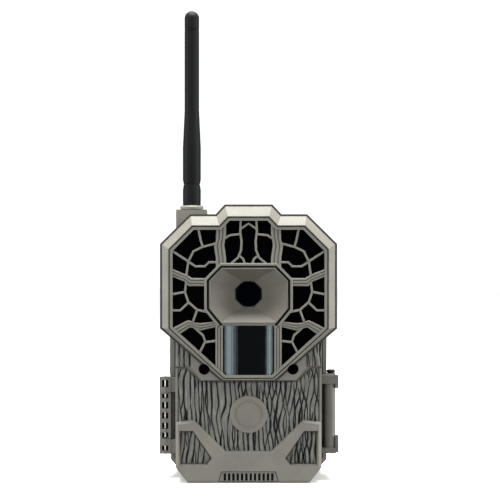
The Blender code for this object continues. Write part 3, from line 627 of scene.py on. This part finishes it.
def make_grille():
    """The border round the hood's opening, the ring round the funnel, and the ribs between them."""
    border = offset(mirrored(FACE_HALF), -0.35)
    funnel = mirrored(FUNNEL_HALF)
    grille = loft([(-34.7, offset(border, -0.3)), (-34.3, border), (-32.3, border)])
    cut(grille, prism(offset(border, -1.7), -36, -30))
    ring = loft([(-34.5, offset(funnel, 2.3)), (-34.2, offset(funnel, 2.6)), (-32.4, offset(funnel, 2.6))])
    cut(ring, prism(offset(funnel, 1.2), -36, -30),
        block((-PIR_HALF, -37, PIR_LOW.z - 0.4), (PIR_HALF, -29, PIR_HIGH.z + 3)))
    parts = []
    for side in (1, -1):
        for rib, foot in [(rib, -32.7) for rib in BROAD_RIBS] + [(PILLAR, -32.9)]:
            left, right = ([(side * x, z) for x, z in path] for path in rib)
            parts.append(ridged_rib(left, right, foot))
        parts += [strip([(side * x, z) for x, z in rib], THIN_RIB, -34.1, -32.8)
                  for rib in THIN_RIBS if side > 0 or rib[0][0] != -rib[-1][0]]
    for part in parts:
        combine(part, [prism(offset(border, -0.3), -36, -30)], 'INTERSECT')
        cut(part, prism(offset(funnel, 1.6), -37, -29),
            block((-PIR_HALF - 0.1, -37, PIR_LOW.z - 0.4), (PIR_HALF + 0.1, -29, PIR_HIGH.z + 3)))
    piece("crack_grille", gather([grille, ring, *parts]), "door", RIB, ("hood_grille",), bevel=0.1)


def make_funnel():
    """The eight-sided funnel with a lip painted black as the shade of the gap round it and a sill under it,
    and the lens in its throat.
    """
    funnel = mirrored(FUNNEL_HALF)
    lip_y = -32.9
    turns = [math.radians(-67.5 + 45 * i) for i in range(8)]
    to_corner = 1 / math.cos(math.pi / 8)
    throat = [(7.3 * to_corner * math.cos(a), LENS_Z + 6.9 * to_corner * math.sin(a)) for a in turns]
    cone = loft([(-34.9, offset(funnel, -0.1)), (lip_y - 0.1, funnel), (lip_y, offset(funnel, 1.3)),
                 (-32.3, offset(funnel, 1.3)), (-22.6, offset(throat, 1.8)), (-20.0, offset(throat, 1.8))])
    cut(cone, loft([(-35.2, offset(funnel, -0.7)), (-34.2, offset(funnel, -0.9)),
                    (-24.6, throat), (-18.0, throat)]))
    sill = block((-14.6, -34.7, PIR_HIGH.z + 0.1), (14.6, -33.2, PIR_HIGH.z + 1.6))
    # Painted shade: the funnel takes the darkened ABS for the shade inside it.
    cone = piece("funnel", gather([cone, sill]), "door", FUNNEL, ("lens_funnel",), bevel=0.25)
    # Painted shade: the lip's front faces take the black, for the shadowed gap between the funnel and the
    # ring.
    paint(cone, BLACK_BAFFLE_AND_SHADE, lambda spot, facing: facing.y < -0.5 and abs(spot.y - lip_y + 0.05) < 0.1)
    length = 10.8
    profile = ((0, 0), (LENS_R + 0.5, 0), (LENS_R + 0.5, length - 0.2), (LENS_R + 0.3, length),
               (LENS_R + 0.1, length), (LENS_R, length - 0.5), (0, length - 0.5))
    barrel = turned(profile, (0, -14.4, LENS_Z), (0, -1, 0), 64)
    piece("lens_tube", barrel, "door", BLACK_BAFFLE_AND_SHADE, ("lens_barrel",))
    dome = [(LENS_R * i / 10, 0.35 * (1 - (i / 10) ** 2)) for i in range(10, -1, -1)]
    glass = turned([(0, -0.8), (LENS_R, -0.8)] + dome, (0, -25.0, LENS_Z), (0, -1, 0), 64)
    piece("front_lens", glass, "door", GLASS, ("lens_glass",))


def make_pir():
    """The curved window over the motion sensor."""
    radius, front, wall = 50.0, -34.6, 1.1
    reach = math.asin(PIR_HALF / radius)
    turns = [reach * (i / 14 - 1) for i in range(29)]
    outer = [(radius * math.sin(a), front + radius * (1 - math.cos(a))) for a in turns]
    inner = [(x * (radius - wall) / radius, y + wall) for x, y in outer]
    outline = outer + inner[::-1]
    window = skin([[(x, y, z) for x, y in outline] for z in (PIR_LOW.z, PIR_HIGH.z)])
    piece("motion_window", window, "door", PIR, ("pir_lens",))


# ---- door: lower cover ------------------------------------------------------------------------------
def in_hinge_window(spot, _):
    """Whether a face lines one of the windows in the hinge."""
    return (abs(spot.x - HINGE_X) < 1.85 and HINGE_Y - 2.9 < spot.y < HINGE_Y + 1.3
            and any(low - 0.05 < spot.z < high + 0.05 for low, high in DOOR_WINDOWS + REAR_WINDOWS))


def hinge_windows(rows):
    """Cutters for the windows that show the hinge's pin."""
    return [block((HINGE_X - 1.8, HINGE_Y - 5, low), (HINGE_X + 1.8, HINGE_Y + 1.0, high))
            for low, high in rows]


def hinge_barrel(low, high):
    """A knuckle of the hinge, round behind and square in front."""
    barrel = rod(HINGE_R, (HINGE_X, HINGE_Y, low), (HINGE_X, HINGE_Y, high), sides=40)
    front = block((HINGE_X - HINGE_R + 0.02, HINGE_Y - 3.0, low + 0.01),
                  (HINGE_X + HINGE_R - 0.02, HINGE_Y - 0.1, high - 0.01))
    return join(barrel, front)


def make_cover():
    """The lower half of the door: the raised brace with its windows, the hinge's knuckles, and the bark."""
    outline = mirrored(COVER_HALF)
    cover = prism(outline, BARK_Y, DOOR_BACK_Y)
    braces = mirrored(BRACE_HALF)
    brace = loft([(-27.4, offset(braces, -1.3)), (-25.9, braces), (BARK_Y + 1, braces)])
    for side in (-1, 1):
        window = [(side * x, z) for x, z in BRACE_WINDOW]
        cut(brace, loft([(-30, offset(window, 1.1)), (BARK_Y + 1.5, offset(window, -0.4))]))
    edges = []
    for side in (-1, 1):
        near, far = sorted((side * 39.5, side * 40.75))
        edges.append(block((near, -25.5, 8.8), (far, BARK_Y + 1, 63.8)))
    knuckles = [hinge_barrel(low, high) for low, high in DOOR_KNUCKLES]
    arms = [block((HINGE_X + 0.5, HINGE_Y - 2.6, low), (-39.8, HINGE_Y + 1.8, high))
            for low, high in DOOR_ARMS]
    join(cover, brace, *edges, *knuckles, *arms)
    cut(cover,
        prism(offset(outline, -WALL), BARK_Y + WALL, DOOR_BACK_Y + 1),
        prism(offset(mirrored(PANEL_HALF), GAP), PANEL_SEAT_Y, DOOR_BACK_Y + 1),
        rod(PIN_BORE_R, (HINGE_X, HINGE_Y, 10), (HINGE_X, HINGE_Y, 60)),
        prism([(-16.9, 0.9), (-15.2, 6.6), (15.2, 6.6), (16.9, 0.9)], -30, -25.0),
        *hinge_windows(DOOR_WINDOWS))
    cover = piece("cover_shell", cover, "door", HOUSING, ("front_cover",), bevel=0.22)
    # Painted shade: the walls of the hinge's windows take the dark colour.
    paint(cover, BLACK_ABS_AND_SHADE, in_hinge_window)

    top_edge = mirrored([(39.4, 36.0), (39.4, 63.6), (34.5, 63.6), (26.9, 56.6)])[1:-1]
    low_edge = [(-39.4, 32.0), (-30.0, 33.0), (-12.9, 16.0), (12.9, 16.0), (30.0, 33.0), (39.4, 32.0)]
    bark_patch("cover_bark", "door", low_edge + top_edge, facing_front(BARK_Y), 1.0)
    for side, word in ((-1, "left"), (1, "right")):
        window = [(side * x, z) for x, z in offset(list(BRACE_WINDOW), 0.2)]
        bark_patch(f"brace_bark_{word}", "door", window, facing_front(BARK_Y), 2.0 + side, rise=1.3)
        corner = [(side * x, z) for x, z in ((32.3, 64.6), (40.4, 64.6), (40.4, 79.4), (32.3, 74.0))]
        bark_patch(f"hood_bark_{word}", "door", corner, facing_front(BARK_Y), 4.0 + side)


def make_trim():
    """The slotted block at the foot of the door, and the round badge."""
    low, high = node_box("sound_grille")
    wide = [(low.x - 1.1, low.z), (low.x + 0.5, high.z), (high.x - 0.5, high.z), (high.x + 1.1, low.z)]
    grille = loft([(low.y + 0.5, offset(wide, -0.1)), (low.y + 0.9, wide), (high.y, wide)])
    count, pitch, half, foot, top = 12, 2.4, 0.65, 1.5, 5.4
    middles = [(i - (count - 1) / 2) * pitch for i in range(count)]
    cut(grille, *[block((x - half, -28, foot), (x + half, -25.6, top)) for x in middles])
    grille = piece("sound_slots", grille, "door", HOUSING, ("sound_grille",), bevel=0.12)
    # Painted shade: the walls and floors of the slots take the black, for the shade inside them.
    paint(grille, BLACK_BAFFLE_AND_SHADE, lambda spot, _: (spot.y > low.y + 0.6 and foot - 0.1 < spot.z < top + 0.1
                                           and abs(spot.x) < 14))
    badge_low, badge_high = node_box("badge")
    middle = (0, badge_high.y, (badge_low.z + badge_high.z) / 2)
    profile = ((0, 0), (10.4, 0), (10.4, 1.7), (10.0, 2.1), (8.8, 2.1), (8.3, 1.7), (7.0, 1.5),
               (6.6, 1.9), (0, 2.05))
    badge = turned(profile, middle, (0, -1, 0), 64)
    piece("blank_badge", badge, "door", HOUSING, ("badge",))


# ---- rear half ----------------------------------------------------------------------------------------
def make_rear():
    """The rear shell with its pedestal, knuckle, latch barrel and ports, and the bark on its sides."""
    outline = mirrored(REAR_HALF)
    back = REAR_HIGH.y
    shell = loft([(REAR_FRONT_Y, outline), (back - 3.0, outline), (back - 0.9, offset(outline, -0.9)),
                  (back, offset(outline, -3.0))])
    pedestal = block((WHIP_X - PEDESTAL_HALF, WHIP_Y - PEDESTAL_HALF, PEDESTAL_FOOT),
                     (WHIP_X + PEDESTAL_HALF, WHIP_Y + PEDESTAL_HALF, REAR_HIGH.z))
    foot, top = REAR_KNUCKLE
    barrel = hinge_barrel(foot, top)
    web = block((HINGE_X - 2.9, HINGE_Y + 1.0, foot + 0.3), (-44.0, 5.0, top - 0.3))
    foot, top = LATCH_BARREL_Z
    latch_barrel = rod(LATCH_R, (LATCH_X, LATCH_Y, foot), (LATCH_X, LATCH_Y, top), sides=40)
    latch_web = block((44.0, LATCH_Y - 1.6, foot + 0.2), (LATCH_X, LATCH_Y + 1.6, top - 0.2))
    join(shell, pedestal, barrel, web, latch_barrel, latch_web)
    port_recess = block((40.0, 6.0, 71.5), (48.0, 18.0, 92.5))
    flap_hinge_seat = block((43.4, 10.0, 92.0), (48.0, 14.0, 94.0))
    cut(shell,
        prism(offset(outline, -WALL), REAR_FRONT_Y - 2, -0.4),
        prism(offset(outline, -6.2), -1.0, 2.0),
        prism(offset(outline, -WALL), 1.6, back - WALL),
        rod(PIN_BORE_R, (HINGE_X, HINGE_Y, 20), (HINGE_X, HINGE_Y, 50)),
        port_recess,
        flap_hinge_seat,
        rod(1.6, (LATCH_X, LATCH_Y, 10), (LATCH_X, LATCH_Y, 63)),
        rod(2.2, (WHIP_X, WHIP_Y, 125), (WHIP_X, WHIP_Y, 154)),
        *hinge_windows(REAR_WINDOWS))
    join(shell, rod(8.0, (0, INSERT_Y, 1.0), (0, INSERT_Y, 10.0)))
    cut(shell, rod(5.3, (0, INSERT_Y, -1), (0, INSERT_Y, 11)))
    shell = piece("rear_housing", shell, "rear", HOUSING, ("rear_shell",), bevel=0.3)
    # Painted shade: the walls of the hinge's windows take the dark colour.
    paint(shell, BLACK_ABS_AND_SHADE, in_hinge_window)
    edge = REAR_HALF[1][0]
    for side, word, patch in (
            (-1, "left", ((7.0, 11.5), (21.0, 11.5), (21.0, 126.0),
                          (-1.2, 126.0), (-1.2, 60.0), (7.0, 50.0))),
            (1, "right", ((8.5, 11.5), (21.0, 11.5), (21.0, 69.0), (8.5, 62.0))),
            (1, "upper_right", ((-1.2, 96.0), (21.0, 96.0), (21.0, 126.0), (-1.2, 126.0)))):
        wall = facing_side(side * edge, side)
        bark_patch(f"side_bark_{word}", "rear", list(patch), wall, 6.0 + side, rise=0.9)


def make_antenna():
    """The whip: a straight grip with a groove, a taper, a slim top with two fine rings, and a domed tip."""
    top = WHIP_HIGH.z
    tip_r = 4.2
    dome = [(tip_r * math.cos(math.radians(a)), top - tip_r + tip_r * math.sin(math.radians(a)))
            for a in range(0, 90, 9)]
    rings = []
    for z in (top - 11.4, top - 10.2):
        rings += [(tip_r, z - 0.25), (tip_r - 0.2, z - 0.15), (tip_r - 0.2, z + 0.15), (tip_r, z + 0.25)]
    socket = [(0, 161.4), (3.6, 161.4), (3.6, 155.5)]
    grip = [(5.0, 155.5), (5.2, 155.7), (5.2, 156.7), (5.05, 156.9), (5.05, 157.2), (5.2, 157.4),
            (5.2, 164.2), (4.85, 166.4), (4.85, 167.0), (4.6, 167.2), (4.6, 167.9), (4.85, 168.1),
            (4.85, 168.5)]
    taper = [(5.2, 170.4), (5.2, 188.6), (5.15, 189.9), (4.25, 209.2), (tip_r, 210.5)]
    whip = turned([*socket, *grip, *taper, *rings, *dome, (0, top)], (WHIP_X, WHIP_Y, 0), sides=64)
    piece("whip", whip, "antenna_whip", WHIP, ("antenna",))
    profile = ((3.6, 153.1), (6.4, 153.1), (6.7, 153.4), (6.7, 154.5), (6.1, 155.3), (3.6, 155.3),
               (3.6, 153.1))
    collar = turned(profile, (WHIP_X, WHIP_Y, 0), sides=64)
    piece("whip_collar", collar, "rear", HOUSING, ("antenna_collar",))


def make_latch():
    """The latch's lever: a round bar and a plate between two arms that turn on the latch pin."""
    low, high = LATCH_Z
    profile = ((0, low + 1.5), (3.1, low + 1.5), (3.1, high - 1.5), (0, high - 1.5))
    lever = turned(profile, (*LATCH_BAR, 0), sides=48)
    arms = []
    for z, size in ((low, 3.0), (high - 4.3, 4.3)):
        arms.append(rod(LATCH_R, (LATCH_X, LATCH_Y, z + 0.02), (LATCH_X, LATCH_Y, z + size - 0.02), sides=40))
        arms.append(block((41.3, -17.4, z), (49.2, REAR_FRONT_Y - 1.0, z + size)))
        arms.append(block((LATCH_X - 2.4, -6.0, z + 0.1), (LATCH_X + 1.7, LATCH_Y, z + size - 0.1)))
    plate = block((46.3, LATCH_BAR[1], low + 1.0), (48.9, LATCH_Y - LATCH_R - 0.8, high - 1.0))
    tabs = [block((48.8, -16.8, z), (50.6, -9.0, z + size))
            for z, size in ((low + 0.4, 9.2), (high - 6.8, 7.0))]
    join(lever, *arms, plate, *tabs)
    cut(lever, rod(1.7, (LATCH_X, LATCH_Y, 10), (LATCH_X, LATCH_Y, 65)))
    piece("latch_handle", lever, "latch", LATCH, ("latch_lever",), bevel=0.35)


def soften(name, finish, bevel=0.2):
    """Gives a CAD node its material and eased edges."""
    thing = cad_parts[name]
    thing.data.materials.clear()
    thing.data.materials.append(finish)
    if bevel:
        weld = thing.modifiers.new("weld", 'WELD')
        weld.merge_threshold = 0.01 * MM
        edges = thing.modifiers.new("edges", 'BEVEL')
        edges.width = bevel * MM
        edges.segments = 2
        edges.limit_method = 'ANGLE'
        edges.angle_limit = math.radians(40)


def finish_cad_nodes():
    """The pieces that stay as the CAD has them."""
    for name in ("hinge_pin", "usb_port", "card_slot", "contact_bottom", "contact_middle", "contact_top",
                 "pir_sensor"):
        soften(name, STEEL, 0)
    soften("latch_pin", DARK_STEEL, 0)
    for i in range(1, 5):
        soften(f"bracket_screw_{i}", STEEL, 0)
        soften(f"panel_screw_{i}", STEEL, 0)
    for i in range(1, 9):
        soften(f"battery_cell_{i}", CELL, 0)
    for name in ("tripod_insert", "antenna_connector"):
        soften(name, BRASS, 0)
    for name in ("battery_tray", "inner_panel", "memory_card", "power_switch", "dc_jack", "image_sensor"):
        soften(name, BLACK_ABS_AND_SHADE, 0.2)
    for name in ("door_gasket", "port_flap"):
        soften(name, RUBBER, 0.2)
    for word in ("up", "down", "left", "right", "ok", "menu"):
        soften(f"button_{word}", RUBBER, 0.2)
    for name in ("led_board", "main_board"):
        soften(name, BOARD, 0)
    soften("ir_window", WINDOW, 0.1)
    soften("lcd_screen", SCREEN, 0.1)
    soften("light_sensor", GLASS, 0.2)
    soften("indicator_led", WINDOW, 0.2)
    soften("tree_bracket", HOUSING, 0.4)


# ---- room -------------------------------------------------------------------------------------------------
VIEW_DISTANCE = 800.0                       # from the hood's front to the camera
VIEW_WIDTH = 275.0                          # what the frame takes in at that distance
EYE = (0.8, 129.6)


def area_light(name, place, target, size, power, gloss_only=False, tint=(1, 1, 1)):
    """A rectangular lamp aimed at a point; one for gloss only shows in shiny surfaces and lights nothing."""
    data = bpy.data.lights.new(name, 'AREA')
    data.color = tint
    data.shape = 'RECTANGLE'
    data.size, data.size_y = (s * MM for s in size)
    data.energy = power
    lamp = bpy.data.objects.new(name, data)
    lamp.location = Vector(place) * MM
    lamp.rotation_euler = (Vector(target) - Vector(place)).to_track_quat('-Z', 'Y').to_euler()
    lamp.visible_diffuse = not gloss_only
    bpy.context.scene.collection.objects.link(lamp)


def make_room():
    """The camera, the white floor, the lamps and an even white surround."""
    scene = bpy.context.scene
    data = bpy.data.cameras.new("camera")
    data.sensor_width = 36.0
    data.lens = data.sensor_width * VIEW_DISTANCE / VIEW_WIDTH
    data.clip_start = 0.01
    camera = bpy.data.objects.new("camera", data)
    camera.location = Vector((EYE[0], FRONT_Y - VIEW_DISTANCE, EYE[1])) * MM
    camera.rotation_euler = (math.pi / 2, 0, 0)
    scene.collection.objects.link(camera)
    scene.camera = camera

    bm = bmesh.new()
    bmesh.ops.create_grid(bm, x_segments=1, y_segments=1, size=4000)
    floor = solid(bm)
    floor.name = "floor"
    floor.data.transform(Matrix.Scale(MM, 4))
    paper, _, sockets, _ = new_material("white_paper", 0.9)
    sockets["Base Color"].default_value = linear("#FFFFFF")
    floor.data.materials.append(paper)
    floor.visible_glossy = False
    floor.visible_diffuse = False

    blue = (0.74, 0.93, 1.0)
    area_light("top_softbox", (0, -10, 900), (0, 0, 90), (700, 450), 22.5)
    area_light("left_softbox", (-312, -665, 60), (-11, -33, 74), (120, 400), 1.0,
               gloss_only=True, tint=blue)
    area_light("left_strip", (-223, -701, 60), (-8, -34, 74), (37, 400), 0.14,
               gloss_only=True, tint=blue)
    area_light("right_softbox", (334, -654, 60), (12, -33, 74), (64, 400), 0.68,
               gloss_only=True, tint=blue)
    area_light("left_fill", (-900, -80, 110), (0, 0, 90), (300, 600), 5.5)
    area_light("right_fill", (900, -80, 110), (0, 0, 90), (300, 600), 7.5)
    world = bpy.data.worlds.new("studio")
    scene.world = world
    world.use_nodes = True
    world.node_tree.nodes["Background"].inputs["Color"].default_value = (1, 1, 1, 1)
    world.node_tree.nodes["Background"].inputs["Strength"].default_value = 1.12
    world.cycles_visibility.glossy = False
    scene.view_settings.view_transform = 'Standard'


make_room()
make_hood()
make_grille()
make_funnel()
make_pir()
make_cover()
make_trim()
make_rear()
make_antenna()
make_latch()
finish_cad_nodes()

bpy.context.view_layer.update()
